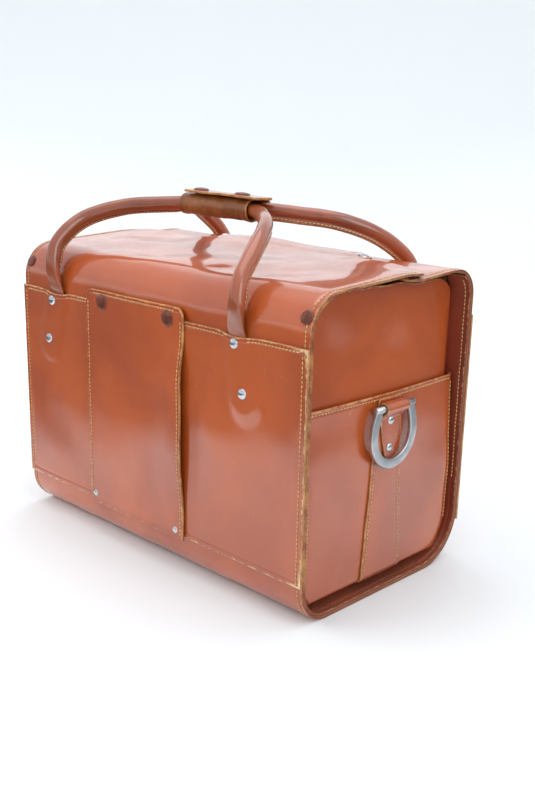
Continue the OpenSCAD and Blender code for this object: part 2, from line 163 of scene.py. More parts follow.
class Profile:
    """A bent line through corners (a, b, radius), measured by its length s."""

    def __init__(self, corners, fine=0.5):
        pts = []
        for i, (a, b, r) in enumerate(corners):
            here = np.array([a, b], float)
            if r <= 0 or i in (0, len(corners) - 1):
                pts.append(here)
                continue
            back = unit(np.array(corners[i - 1][:2], float) - here)
            on = unit(np.array(corners[i + 1][:2], float) - here)
            half = math.acos(float(np.clip(back @ on, -1, 1))) / 2
            centre = here + unit(back + on) * (r / math.sin(half))
            start = here + back * (r / math.tan(half)) - centre
            end = here + on * (r / math.tan(half)) - centre
            a0, a1 = math.atan2(start[1], start[0]), math.atan2(end[1], end[0])
            turn = (a1 - a0 + math.pi) % (2 * math.pi) - math.pi
            steps = max(4, int(abs(turn) * r / fine))
            angles = [a0 + turn * k / steps for k in range(steps + 1)]
            pts += [centre + r * np.array([math.cos(a), math.sin(a)]) for a in angles]
        pts = np.array(pts)
        keep = np.append(True, np.linalg.norm(np.diff(pts, axis=0), axis=1) > 1e-6)
        self.pts = pts[keep]
        self.s = lengths(self.pts)
        self.length = float(self.s[-1])

    def at(self, s):
        """The point at a length s."""
        return np.interp(s, self.s, self.pts[:, 0]), np.interp(s, self.s, self.pts[:, 1])

    def normal(self, s):
        """Unit normal to the right of the direction of travel."""
        a0, b0 = self.at(s - 0.8)
        a1, b1 = self.at(s + 0.8)
        length = np.maximum(np.hypot(a1 - a0, b1 - b0), 1e-9)
        return (b1 - b0) / length, -(a1 - a0) / length

    def find(self, b, after=0.0):
        """The length s at which the line first crosses the height b."""
        gap = self.pts[:, 1] - b
        for i in range(len(gap) - 1):
            if self.s[i + 1] > after and gap[i] * gap[i + 1] <= 0 and gap[i] != gap[i + 1]:
                return float(self.s[i] + gap[i] / (gap[i] - gap[i + 1]) * (self.s[i + 1] - self.s[i]))
        raise ValueError("the profile never reaches that height")


# ---- mesh parts
FAR = 50.0                      # stands for "nowhere near a cut edge"


class Part:
    """Points, faces, a material per face and each point's distance from a cut edge, in millimetres."""

    def __init__(self, verts, faces, materials, marks=None, edge=None):
        self.verts = np.asarray(verts, float)
        self.faces = faces
        self.materials = materials
        self.marks = marks if marks is not None else [0] * len(faces)
        self.edge = np.full(len(self.verts), FAR) if edge is None else edge


def build(name, *parts):
    """One mesh object out of several parts."""
    verts, faces, marks, edge, materials = [], [], [], [], []
    start = 0
    for part in parts:
        for m in part.materials:
            if m not in materials:
                materials.append(m)
        table = [materials.index(m) for m in part.materials]
        verts.append(part.verts)
        edge.append(part.edge)
        faces += [[i + start for i in f] for f in part.faces]
        marks += [table[k] for k in part.marks]
        start += len(part.verts)
    mesh = bpy.data.meshes.new(name)
    mesh.from_pydata((np.vstack(verts) * MM).tolist(), [], faces)
    for m in materials:
        mesh.materials.append(m)
    mesh.polygons.foreach_set("material_index", np.array(marks, np.int32))
    mesh.polygons.foreach_set("use_smooth", [True] * len(mesh.polygons))
    shell = bmesh.new()
    shell.from_mesh(mesh)
    bmesh.ops.recalc_face_normals(shell, faces=shell.faces)
    shell.to_mesh(mesh)
    shell.free()
    layer = mesh.attributes.new("edge_mm", "FLOAT", "POINT")
    layer.data.foreach_set("value", np.concatenate(edge).astype(np.float32))
    mesh.update()
    obj = bpy.data.objects.new(name, mesh)
    bpy.context.scene.collection.objects.link(obj)
    return obj


def piece(name, parts, *nodes, body="case", slot="leather"):
    """Builds a rigid piece that rides on a body and stands for some CAD nodes."""
    obj = build(name, *parts)
    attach(obj, body)
    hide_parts(*nodes)


def soft_piece(name, parts, body, low, high, *nodes):
    """Builds a piece that stands for some CAD nodes, with its placement baked into its mesh."""
    obj = build(name, *parts)
    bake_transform(obj)
    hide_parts(*nodes)


class Surface:
    """fn(u, v) gives points; side is 1 when du x dv points out of the visible face, else -1."""

    def __init__(self, fn, side=1):
        self.fn, self.side = fn, side

    def frame(self, u, v, h=0.3):
        """Points and unit normals at (u, v); either may be one number along a line."""
        u, v = np.broadcast_arrays(np.asarray(u, float), np.asarray(v, float))
        du = self.fn(u + h, v) - self.fn(u - h, v)
        dv = self.fn(u, v + h) - self.fn(u, v - h)
        n = np.cross(du, dv) * self.side
        n /= np.maximum(np.linalg.norm(n, axis=-1, keepdims=True), 1e-12)
        return self.fn(u, v), n


def xyz(x, y, z):
    """Points from three coordinates, each an array or one number."""
    return np.stack(np.broadcast_arrays(np.asarray(x, float), y, z), axis=-1)


def edge_drop(d, thick):
    """How far a sheet's faces draw in where its cut edge is rounded."""
    r = min(0.9, thick / 2.3)
    k = np.clip(1 - d / r, 0, 1)
    return r * (1 - np.sqrt(np.clip(1 - k * k, 0, 1)))


def sheet(surface, us, vs, thick, materials, trim=None, groove=None, rims=(1, 1, 1, 1), reach=None,
          hole=None):
    """A leather sheet: [face, back, raw edge] materials, rounded where it is cut.

    rims says which of u low, u high, v low, v high are cut edges. reach(u, v) replaces the distance
    to a cut edge. groove(u, v, d) is pressed into the face. hole is (u0, u1, v0, v1).
    """
    nu, nv = len(us), len(vs)
    U, V = np.meshgrid(us, vs, indexing="ij")
    if reach is None:
        far = np.full_like(U, FAR)
        sides = [U - us[0], us[-1] - U, V - vs[0], vs[-1] - V]
        dist = np.minimum.reduce([s if on else far for s, on in zip(sides, rims)])
    else:
        dist = reach(U, V)
    if trim is not None:
        U, V = trim(U, V)
    P, N = surface.frame(U.ravel(), V.ravel())
    d = dist.ravel()
    drop = edge_drop(d, thick)
    pressed = groove(U.ravel(), V.ravel(), d) if groove is not None else 0.0
    outer = P - N * (drop + pressed)[:, None]
    inner = P - N * (thick - drop)[:, None]
    n = nu * nv
    live = np.ones((nu - 1, nv - 1), bool)
    if hole is not None:
        mid_u, mid_v = (us[1:] + us[:-1]) / 2, (vs[1:] + vs[:-1]) / 2
        live &= ~np.outer((mid_u > hole[0]) & (mid_u < hole[1]), (mid_v > hole[2]) & (mid_v < hole[3]))
    i, j = np.nonzero(live)
    a, b, c, e = i * nv + j, (i + 1) * nv + j, (i + 1) * nv + j + 1, i * nv + j + 1
    quads = np.stack([a, b, c, e], axis=1)
    if surface.side < 0:
        quads = quads[:, ::-1]
    worn = (d[quads].max(axis=1) < 0.5).astype(int) * 2
    faces = quads.tolist() + (quads[:, ::-1] + n).tolist()
    marks = worn.tolist() + np.where(worn > 0, 2, 1).tolist()
    pad = np.zeros((nu + 1, nv + 1), bool)
    pad[1:-1, 1:-1] = live
    for i in range(nu):
        for j in range(nv):
            here, left, below = pad[i + 1, j + 1], pad[i, j + 1], pad[i + 1, j]
            at = i * nv + j
            if j < nv - 1 and here != left:
                faces.append([at + 1, at, at + n, at + 1 + n])
                marks.append(2)
            if i < nu - 1 and here != below:
                faces.append([at, at + nv, at + nv + n, at + n])
                marks.append(2)
    return Part(np.vstack([outer, inner]), faces, materials, marks, np.concatenate([d, d]))


def corner_loss(t, r):
    """How much a corner of radius r takes off an edge, at a depth t into the corner."""
    return r - np.sqrt(r ** 2 - np.clip(t, 0, r) ** 2)


def narrowed(value, limits, r, free):
    """A sheet's coordinate between two limits, drawn in near a free edge so that its corners are round."""
    mid, half = sum(limits) / 2, (limits[1] - limits[0]) / 2
    return mid + (value - mid) * (half - corner_loss(r - free, r)) / half


def seam_groove(depth=0.45):
    """A sheet's groove along its seam."""
    return lambda u, v, d: depth * bump(d, SEAM, 0.85)


def lathe(points, sides=32):
    """Verts and faces of a turned shape from (radius, height) points; a closed one ends on the axis."""
    verts, faces, rings = [], [], []
    for r, z in points:
        if r < 1e-6:
            rings.append([len(verts)])
            verts.append((0, 0, z))
        else:
            rings.append(list(range(len(verts), len(verts) + sides)))
            verts += [(r * math.cos(2 * math.pi * k / sides), r * math.sin(2 * math.pi * k / sides), z)
                      for k in range(sides)]
    for low, high in zip(rings, rings[1:]):
        for k in range(sides):
            f = [low[k % len(low)], low[(k + 1) % len(low)], high[(k + 1) % len(high)], high[k % len(high)]]
            f = [v for m, v in enumerate(f) if v not in f[:m]]
            if len(f) > 2:
                faces.append(f)
    return np.array(verts, float), faces


def axes_to(normal, turn=0.0):
    """A 3x3 matrix whose third column is the normal."""
    n = unit(np.asarray(normal, float))
    ref = np.array([0, 0, 1.0]) if abs(n[2]) < 0.9 else np.array([1.0, 0, 0])
    x = unit(np.cross(ref, n))
    y = np.cross(n, x)
    c, s = math.cos(turn), math.sin(turn)
    return np.stack([x * c + y * s, -x * s + y * c, n], axis=1)


def copies(shapes, faces, material):
    """One part from copies of a shape: each copy's points, and the faces of one."""
    step = len(shapes[0])
    every = [[i + k * step for i in f] for k in range(len(shapes)) for f in faces]
    return Part(np.vstack(shapes), every, [material])


def turned(points, places, material, sides=32):
    """Copies of a turned shape at (point, outward normal) places."""
    base, faces = lathe(points, sides)
    shapes = [base @ axes_to(n, turn=k * 1.3).T + np.asarray(p, float) for k, (p, n) in enumerate(places)]
    return copies(shapes, faces, material)


STITCH = [(0, -0.5), (0.62, -0.44), (1.0, -0.2), (1.0, 0.2), (0.62, 0.44), (0, 0.5)]
STITCH_LONG, STITCH_R, STITCH_LIFT, STITCH_SLANT = 3.0, 0.58, 0.03, 0.10


def stitches(runs):
    """Sewn stitches along runs; a run is (points, normals) of a line on a surface."""
    base, faces = lathe(STITCH, 7)
    shapes = []
    for points, normals in runs:
        s = lengths(points)
        count = int(s[-1] / PITCH)
        for k in range(count):
            mid = (s[-1] - count * PITCH) / 2 + PITCH * (k + 0.5)
            p, a, b = (np.array([np.interp(m, s, points[:, c]) for c in range(3)])
                       for m in (mid, mid - 1, mid + 1))
            n = unit(np.array([np.interp(mid, s, normals[:, c]) for c in range(3)]))
            t = unit(b - a)
            t = unit(t + np.cross(n, t) * (STITCH_SLANT + rng.uniform(-0.05, 0.05)))
            side = unit(np.cross(n, t))
            local = base * np.array([STITCH_R, STITCH_R * 0.8, STITCH_LONG * rng.uniform(0.94, 1.04)])
            shapes.append(local @ np.stack([side, np.cross(t, side), t], axis=1).T + p + n * STITCH_LIFT)
    return copies(shapes, faces, THREAD)


def swept(path, sections, ups, materials, marks=None):
    """A closed section of (side, up) points for each point of a path, skinned and capped."""
    tangent = units(np.gradient(path, axis=0))
    verts = []
    for point, along, up, section in zip(path, tangent, np.broadcast_to(ups, path.shape), sections):
        up = unit(up - along * (up @ along))
        verts.append(point + section[:, :1] * np.cross(along, up) + section[:, 1:] * up)
    k = len(sections[0])
    last = (len(path) - 1) * k
    faces = [[row + j, row + (j + 1) % k, row + k + (j + 1) % k, row + k + j]
             for row in range(0, last, k) for j in range(k)]
    faces += [list(range(k))[::-1], list(range(last, last + k))]
    marks = ([0] * k if marks is None else marks) * (len(path) - 1) + [0, 0]
    return Part(np.vstack(verts), faces, materials, marks)


# ---- materials
def linear(color):
    """An 8-bit display colour as linear light; linear light and sockets stay as they are."""
    if not isinstance(color, tuple) or len(color) != 3:
        return color
    light = [((c / 255 + 0.055) / 1.055) ** 2.4 if c > 10 else c / 255 / 12.92 for c in color]
    return (*light, 1.0)


class Nodes:
    """Short calls for a material's node tree."""

    def __init__(self, name):
        self.material = bpy.data.materials.new(name)
        self.material.use_nodes = True
        self.tree = self.material.node_tree
        self.shader = self.tree.nodes["Principled BSDF"]
        self.place = self.tree.nodes.new("ShaderNodeTexCoord").outputs["Object"]

    def set(self, socket, value):
        if isinstance(value, bpy.types.NodeSocket):
            self.tree.links.new(value, socket)
        else:
            socket.default_value = value

    def add(self, kind, inputs, **settings):
        """Outputs of a new node, with its settings made and its inputs set or linked."""
        node = self.tree.nodes.new("ShaderNode" + kind)
        for key, value in settings.items():
            setattr(node, key, value)
        for key, value in inputs.items():
            self.set(node.inputs[key], value)
        return node.outputs

    def stretch(self, scale):
        return self.add("Mapping", {"Scale": scale, "Vector": self.place})["Vector"]

    def noise(self, scale, detail=3.0, rough=0.55, warp=0.0, vector=None):
        return self.add("TexNoise", {"Vector": vector or self.place, "Scale": scale, "Detail": detail,
                                     "Roughness": rough, "Distortion": warp})["Fac"]

    def cells(self, scale):
        return self.add("TexVoronoi", {"Vector": self.place, "Scale": scale})["Distance"]

    def ramp(self, value, low, high, out_low=0.0, out_high=1.0):
        limits = {"From Min": low, "From Max": high, "To Min": out_low, "To Max": out_high}
        return self.add("MapRange", {"Value": value, **limits}, interpolation_type="SMOOTHSTEP")["Result"]

    def maths(self, kind, a, b):
        return self.add("Math", {0: a, 1: b}, operation=kind)["Value"]

    def times(self, a, b):
        return self.maths("MULTIPLY", a, b)

    def mix(self, factor, a, b):
        return self.add("Mix", {0: factor, 6: linear(a), 7: linear(b)}, data_type="RGBA")[2]

    def edge(self):
        """Distance from a cut edge, in millimetres."""
        return self.add("Attribute", {}, attribute_name="edge_mm")["Fac"]

    def split(self, axis):
        """One coordinate of the place, in metres."""
        return self.add("SeparateXYZ", {0: self.place})[axis]

    def far_from(self, point):
        """Distance from a point, in metres."""
        return self.add("VectorMath", {0: self.place, 1: point}, operation="DISTANCE")["Value"]

    def bumps(self, *layers):
        """Layers of (height, distance in millimetres)."""
        normal = None
        for height, distance in layers:
            inputs = {"Distance": distance * MM, "Height": height}
            normal = self.add("Bump", inputs if normal is None else {**inputs, "Normal": normal})["Normal"]
        self.set(self.shader.inputs["Normal"], normal)

    def finish(self, color, rough, **uniform):
        self.set(self.shader.inputs["Base Color"], color)
        self.set(self.shader.inputs["Roughness"], rough)
        for key, value in uniform.items():
            self.shader.inputs[key.replace("_", " ")].default_value = value
        return self.material


def leather(name, base, deep, worn, rough=0.42, coat=0.85, wrinkle=0.05, mottle=1.0, low=0.0, scuffs=()):
    """Waxed bridle leather: a clear gloss over an even dye, scratched, and worn at its cut edges."""
    n = Nodes(name)
    clouds = n.ramp(n.noise(9, 4, 0.55, 0.4), 0.35, 0.70, 0.0, 0.50 * mottle)
    color = n.mix(clouds, base, deep)
    stains = n.ramp(n.noise(46, 6, 0.68, 0.8), 0.55, 0.80, 0.0, 0.18 * mottle)
    color = n.mix(stains, color, deep)
    color = n.mix(n.ramp(n.noise(1100, 3, 0.6), 0.4, 0.72, 0.0, 0.03), color, worn)
    edge = n.edge()
    burnt = n.times(n.ramp(edge, 1.5, 7.5, 0.40, 0.0), n.ramp(n.noise(60, 3), 0.3, 0.7, 0.4, 1.0))
    color = n.mix(burnt, color, deep)
    jitter = n.ramp(n.noise(150, 5, 0.7), 0.32, 0.72, 1.3, -1.3)
    rub = n.ramp(n.maths("ADD", edge, jitter), 0.0, 1.5, 0.8, 0.0)
    for spot in scuffs:
        near = n.ramp(n.far_from(spot), 0.004, 0.022, 1.0, 0.0)
        ragged = n.maths("ADD", edge, n.ramp(n.noise(330, 5, 0.7), 0.3, 0.7, -2.0, 2.0))
        flake = n.ramp(ragged, 2.0, 3.0, 0.95, 0.0)
        rub = n.maths("MAXIMUM", rub, n.times(near, flake))
    if low:
        grain = n.ramp(n.noise(820, 5, 0.75), 0.46, 0.66, 0.0, 0.5)
        rub = n.maths("MAXIMUM", rub, n.times(grain, n.ramp(n.split("Z"), low * 0.5, low, 1.0, 0.0)))
    color = n.mix(rub, color, worn)
    lines_a = n.noise(60, 2, 0.5, 0.0, n.stretch((0.5, 2.0, 16.0)))
    lines_b = n.noise(80, 2, 0.5, 0.3, n.stretch((14.0, 2.0, 0.8)))
    scratch = n.maths("MAXIMUM", n.ramp(lines_a, 0.73, 0.78), n.ramp(lines_b, 0.74, 0.79))
    color = n.mix(n.times(scratch, 0.28), color, worn)
    gloss = n.ramp(n.noise(30, 5, 0.6), 0.3, 0.7, rough - 0.06, rough + 0.08)
    n.bumps((n.noise(26, 2, 0.5), wrinkle * 2), (n.noise(260, 4, 0.6, 1.5), wrinkle * 0.6),
            (n.cells(1000), 0.01), (scratch, -0.03))
    return n.finish(color, gloss, Coat_Weight=coat, Coat_Roughness=0.06, Coat_IOR=1.8,
                    Specular_IOR_Level=0.4)


def plain(name, low, high, rough, scale=120, depth=0.1, **uniform):
    """A plain finish that varies softly between two colours."""
    n = Nodes(name)
    field = n.noise(scale, 4, 0.6, 0.4)
    n.bumps((n.noise(scale * 4, 3, 0.6), depth))
    return n.finish(n.mix(n.ramp(field, 0.35, 0.68), low, high),
                    n.ramp(field, 0.3, 0.7, rough - 0.05, rough + 0.08), **uniform)


DYE, DEEP, PALE = (186, 82, 23), (134, 45, 12), (216, 158, 102)
RUSSET = leather("russet_leather", DYE, DEEP, PALE)
PANEL = leather("panel_leather", DYE, DEEP, (232, 200, 150),
                scuffs=((0.204, -0.1165, 0.040), (0.204, -0.1165, 0.0385), (0.204, -0.1165, 0.2465)))
# Leather for the strips turned in around the recessed ends: its darker colours are painted shade for the
# recess.
GUSSET_PAINTED_SHADE = leather("gusset_leather_painted_shade", (142, 60, 38), (92, 36, 22), (198, 158, 124),
                 rough=0.46, coat=0.35, wrinkle=0.10, low=0.03)
HANDLE = leather("handle_leather", (168, 78, 36), (108, 48, 22), (206, 156, 100),
                 rough=0.40, coat=0.7, mottle=1.4)
RUSSET_DARK = leather("hand_worn_leather", (150, 88, 40), (82, 38, 20), (196, 150, 84),
                      rough=0.45, coat=0.28, wrinkle=0.12, mottle=2.0)


def cut_edge(name, base, worn, share, ends_only=False):
    """Burnished cut edge, rubbed back to tan in places."""
    n = Nodes(name)
    spots = n.times(n.ramp(n.noise(70, 6, 0.75), 0.36, 0.66), share)
    if ends_only:
        # With ends_only the tan spots keep to the ends of the case and fade out towards its rear and its
        # bottom.
        spots = n.times(spots, n.ramp(n.maths("ABSOLUTE", n.split("X"), 0.0), 0.186, 0.196))
        spots = n.times(spots, n.ramp(n.split("Y"), 0.05, 0.08, 1.0, 0.15))
        spots = n.times(spots, n.ramp(n.split("Z"), 0.012, 0.04, 0.15, 1.0))
    fibre = n.noise(900, 3, 0.6)
    color = n.mix(spots, base, worn)
    color = n.mix(n.ramp(fibre, 0.4, 0.7, 0.0, 0.35), color, (150, 90, 46))
    n.bumps((fibre, 0.08))
    return n.finish(color, 0.45)


CUT_EDGE = cut_edge("cut_edge", (150, 92, 48), (222, 172, 106), 0.85)
RIM_EDGE = cut_edge("rim_edge", (122, 52, 28), (214, 158, 90), 0.7, ends_only=True)
SUEDE = plain("lining_leather", (184, 138, 97), (170, 124, 84), 0.78, 160, 0.15)
THREAD = plain("waxed_thread", (232, 192, 126), (196, 146, 84), 0.5, 420, 0.2)
NICKEL = plain("bright_nickel", (226, 226, 228), (196, 196, 200), 0.2, 70, 0.02, Metallic=1.0)
STUD = plain("dull_stud", (176, 160, 124), (140, 122, 92), 0.34, 90, 0.03, Metallic=1.0)
ENAMEL = plain("brown_enamel", (124, 62, 42), (88, 40, 27), 0.34, 260, 0.05, Metallic=0.2,
               Coat_Weight=0.2, Coat_Roughness=0.12)
ROPE = plain("cord_core", (204, 178, 136), (170, 140, 100), 0.85, 500, 0.5)
BOARD = plain("base_board", (150, 116, 84), (124, 92, 64), 0.85, 160, 0.2)


def satin():
    """Satin nickel with fine handling scratches."""
    n = Nodes("satin_nickel")
    hair = n.noise(120, 4, 0.6, 0.2, n.stretch((1.0, 9.0, 1.0)))
    marks = n.noise(160, 4, 0.6, 0.2, n.stretch((8.0, 1.0, 7.0)))
    field = n.noise(55, 4, 0.6)
    lines = n.maths("MAXIMUM", n.ramp(hair, 0.60, 0.72), n.ramp(marks, 0.62, 0.74))
    color = n.mix(n.ramp(field, 0.35, 0.7), (204, 206, 208), (172, 175, 178))
    color = n.mix(n.times(lines, 0.5), color, (236, 238, 240))
    n.bumps((field, 0.05), (lines, -0.03))
    return n.finish(color, n.ramp(field, 0.3, 0.7, 0.27, 0.38), Metallic=1.0)


SATIN = satin()
OUTER = [RUSSET, SUEDE, CUT_EDGE]
BODY = [RUSSET, SUEDE, RIM_EDGE]

CARRIED = (
    (SUEDE, ("lining", "front_flap_lining", "rear_flap_lining")),
    (BOARD, ("bottom_board",)),
    (ROPE, ("front_handle_core", "rear_handle_core")),
    (STUD, ("grip_studs", "closing_tab_studs", "corner_studs", "pocket_flap_studs")),
)
for material, nodes in CARRIED:
    for node in nodes:
        carried = frame["nodes"][node]
        carried.data.materials.clear()
        carried.data.materials.append(material)


# ---- wrap: body leather and both flaps
TILT = math.tan(math.radians(3.1))
FRONT_R, REAR_R, LOW_FRONT_R, LOW_REAR_R = 35, 26, 34, 52
ARC_Y, ARC_Z = -79, 255         # centre of the front top corner
FREE_Y, REAR_FREE_Y, TAB_Y = 42, 18, 82
CLOSING_X = (-104, 116)
JOIN_Z = 236                    # the two lengths of body leather meet under the rear overlay


def flap_z(y):
    """Top face of the front flap at a depth."""
    return ARC_Z + FRONT_R * math.hypot(1, TILT) + (y - ARC_Y) * TILT


wrap_line = Profile([(FREE_Y, flap_z(FREE_Y), 0), (-HALF_D, flap_z(-HALF_D), FRONT_R),
                     (-HALF_D, 0, LOW_FRONT_R), (HALF_D, 0, LOW_REAR_R), (HALF_D, JOIN_Z, 0)])
rear_line = Profile([(HALF_D, JOIN_Z, 0), (HALF_D, REAR_TOP, REAR_R), (REAR_FREE_Y, REAR_TOP, 0)])
tab_line = Profile([(TAB_Y, flap_z(FREE_Y) - 1, 0), (60, flap_z(FREE_Y) + 0.5, 60),
                    (FREE_Y - 3, flap_z(FREE_Y - 3) - 0.05, 0)])
FRONT_TOP_S = wrap_line.find(ARC_Z - 1)


def over(line, dent):
    """A surface along a line seen from the end; dent(s, x) moves it outwards."""
    def fn(s, x):
        y, z = line.at(s)
        ny, nz = line.normal(s)
        d = dent(s, x)
        return xyz(x, y + ny * d, z + nz * d)
    return Surface(fn)


def wrap_dent(s, x):
    """Dents of the body leather: a hollow top, and a free edge that droops at its two corners."""
    inside = 1 - rise(abs(x), 110, 80)
    on_top = 1 - smooth((s - FRONT_TOP_S + 75) / 70)
    free = fall(s, 34, 34)
    d = inside * (0.75 * on_top * waves(s, x, 120, 3) + 0.22 * waves(s, x, 60, 4))
    d = d - 1.1 * inside * on_top * smooth(s / 40) * bump(x, 10, 120)
    droop = rise(abs(x), 158, 46)
    return d + free * (0.7 * waves(x, x * 0, 110, 5) - 3.4 * droop * (x > 0) - 2.2 * droop * (x < 0))


def rear_dent(s, x):
    """Dents of the rear flap, whose free corners droop, the right one more."""
    inside = 1 - rise(abs(x), 110, 80)
    back = rear_line.length - s
    d = inside * 0.5 * waves(s, x, 100, 8) * smooth(s / 60)
    return d - (1.8 + 1.8 * (x > 0)) * rise(abs(x), 160, 44) * fall(back, 70, 70)


wrap_face = over(wrap_line, wrap_dent)
rear_face = over(rear_line, rear_dent)
CORNER_R, TAB_CORNER_R = 14, 20  # the free corners of the flaps, and of the closing tab
WIDTH = (-HALF_L, HALF_L)


def wrap_reach(s, x):
    """Distance to the wrap's cut edges; its free edge goes on into the closing tab."""
    in_tab = np.minimum(x - CLOSING_X[0], CLOSING_X[1] - x)
    free = np.where(in_tab < 0, s, np.hypot(s, in_tab))
    return np.minimum(HALF_L - abs(x), free)


def rim_run(face, x, s0, s1):
    """A seam's line at a distance x along the bag."""
    return face.frame(np.arange(s0, s1, 2.0), x)


def side_groove(_s, x, _d):
    """The wrap's groove, along the case's two ends only."""
    return 0.45 * bump(HALF_L - abs(x), SEAM, 0.85)


rim_x = HALF_L - SEAM
columns = stops(-HALF_L, HALF_L, 5.0)
body_wrap = sheet(wrap_face, stops(0, wrap_line.length, 4.0, ends=(1, 0)), columns, HIDE, BODY,
                  trim=lambda s, x: (s, narrowed(x, WIDTH, CORNER_R, s)), groove=side_groove,
                  reach=wrap_reach)


def tab_dent(s, x):
    """Carries on from the flap, swells, and droops at its two ends."""
    before = tab_line.length - 3 - s
    away = smooth(before / 16)
    droop = 3.0 * (rise(x, 92, 16) + smooth((-x - 80) / 16)) * smooth(before / 14)
    return wrap_dent(np.maximum(-before, 0), x) + away * (1.3 + 0.4 * waves(s, x, 60, 9)) - droop


tab_face = over(tab_line, tab_dent)
tab_leather = sheet(tab_face, stops(0, tab_line.length, 3.0, ends=(1, 0)), stops(*CLOSING_X, 4.0), HIDE,
                    OUTER, trim=lambda s, x: (s, narrowed(x, CLOSING_X, TAB_CORNER_R, s)),
                    groove=seam_groove(), rims=(1, 0, 1, 1))
runs = [rim_run(wrap_face, x, 12, wrap_line.length - 2) for x in (-rim_x, rim_x)]
FOLD = 8                        # half height of the band around a flap's fold line
front_fold, rear_fold = joint_place("front_flap_fold")[2], joint_place("rear_flap_fold")[2]
soft_piece("case_leather", [body_wrap, tab_leather, stitches(runs)], "front_flap",
           front_fold - FOLD, front_fold + FOLD, "outer_wrap", "front_flap")

rear_wrap = sheet(rear_face, stops(0, rear_line.length, 4.0, ends=(0, 1)), columns, HIDE, BODY,
                  trim=lambda s, x: (s, narrowed(x, WIDTH, CORNER_R, rear_line.length - s)),
                  groove=side_groove, rims=(0, 1, 1, 1))
runs = [rim_run(rear_face, x, 4, rear_line.length - 12) for x in (-rim_x, rim_x)]
soft_piece("rear_leather", [rear_wrap, stitches(runs)], "rear_flap", rear_fold - FOLD, rear_fold + FOLD,
           "rear_flap")


# ---- overlays over the handle tabs
def tab_distance(x, z):
    """Distance outside the nearest handle tab's outline."""
    best = np.full(np.shape(x), 99.0)
    for top, low in zip(TAB_TOPS, TAB_FEET):
        along = np.array([top - low, PANEL_TOP - TAB_FOOT_Z], float)
        t = np.clip(((x - low) * along[0] + (z - TAB_FOOT_Z) * along[1]) / (along @ along), 0, 1.2)
        best = np.minimum(best, np.hypot(x - low - t * along[0], z - TAB_FOOT_Z - t * along[1]) - TAB_HALF)
    return best


def overlay_lift(x, z, front):
    """How far an overlay stands off its flat plane."""
    inside = 1 - rise(abs(x), 170, 34)
    d = 2.0 * (1 - smooth(tab_distance(x, z) / 8))
    d = d + 0.45 * inside * waves(x, z, 90, 12 if front else 13)
    if front:
        middle = rise(z, 60, 50) * fall(z, 236, 50)
        d = d - 1.9 * bump(x, 70, 11) * middle + 0.9 * bump(x, 105, 26) * middle
    return d


OPENING_X, OPENING_Z = (-62, 28), (70, 225)     # of the pocket behind the strap


def tab_dip(x):
    """How far an overlay's top edge is pulled down over the handle tabs."""
    return sum(2.6 * bump(x, top, 17) for top in TAB_TOPS)


def overlay_face(front):
    """An overlay's face over (x, z)."""
    sign = -1 if front else 1
    return Surface(lambda x, z: xyz(x, sign * (HALF_D + HIDE + overlay_lift(x, z, front)), z), -sign)


def overlay(front):
    """An overlay panel, with the pocket's opening behind the strap in the front one."""
    face = overlay_face(front)

    def trim(U, V):
        return U, V - tab_dip(U) * smooth((V - PANEL_TOP + 26) / 26)

    hole = (*OPENING_X, *OPENING_Z) if front else None
    us = stops(-HALF_L, HALF_L, 4.0, lines=OPENING_X if front else ())
    vs = stops(PANEL_FOOT, PANEL_TOP, 4.0, lines=OPENING_Z if front else ())

    def groove(u, v, d):
        at_top = PANEL_TOP - v < HALF_L - abs(u)
        at_foot = smooth((v - PANEL_FOOT - 3.5) / 2)
        return 0.45 * bump(d, np.where(at_top, TOP_SEAM, SEAM), 0.8) * at_foot

    skin = sheet(face, us, vs, HIDE, [PANEL, SUEDE, CUT_EDGE], trim=trim, groove=groove, hole=hole)
    z = np.arange(PANEL_FOOT + 3, PANEL_TOP - 4, 2.0)
    runs = [face.frame(x, z) for x in (-rim_x, rim_x)]
    gaps = [-rim_x + 2] + [top + d for top in TAB_TOPS for d in (-13, 13)] + [rim_x - 2]
    for x0, x1 in zip(gaps[::2], gaps[1::2]):
        x = np.arange(x0, x1, 2.0)
        runs.append(face.frame(x, PANEL_TOP - TOP_SEAM - tab_dip(x)))
    parts = [skin, stitches(runs)]
    if front:
        def tongue(x, z):
            return xyz(x, -(HALF_D + HIDE - 0.1), z)
        parts.append(sheet(Surface(tongue), stops(STRAP_X[0] + 12, STRAP_X[1] - 9, 6.0), stops(236, 256, 5.0),
                           HIDE, OUTER))
    name = "front" if front else "rear"
    piece(f"{name}_overlay", parts, f"{name}_panel")


for front in (True, False):
    overlay(front)


# ---- pocket flap on the front
def strap_lift(x, z):
    """How far the pocket flap bulges off the front, mostly along its right edge."""
    middle = rise(z, 62, 60) * fall(z, 238, 50)
    return (4.6 * rise(x, 5, 52) * middle + 0.35 * waves(x, z, 70, 15)
            + 0.8 * bump(x, -20, 40) * middle)


strap_face = Surface(lambda x, z: xyz(x, STRAP_Y - strap_lift(x, z), z))
STRAP_R = 10
strap = sheet(strap_face, stops(*STRAP_X, 3.5), stops(*STRAP_Z, 3.5), HIDE, OUTER,
              trim=lambda x, z: (narrowed(x, STRAP_X, STRAP_R, STRAP_Z[1] - z), z),
              groove=lambda u, v, d: 0.4 * bump(d, TOP_SEAM, 0.9) * smooth((v - STRAP_Z[0] - 4) / 4))
z = np.arange(STRAP_Z[0] + 3, STRAP_Z[1] - STRAP_R, 2.0)
x = np.arange(STRAP_X[0] + STRAP_R, STRAP_X[1] - STRAP_R, 2.0)
runs = [strap_face.frame(px, z) for px in (STRAP_X[0] + TOP_SEAM, STRAP_X[1] - TOP_SEAM)]
runs.append(strap_face.frame(x, STRAP_Z[1] - TOP_SEAM))
strap_fold = joint_place("pocket_flap_fold")[2]
soft_piece("pocket_flap_leather", [strap, stitches(runs)], "pocket_flap", strap_fold - 5, strap_fold + 5,
           "pocket_flap", "pocket_flap_foot")


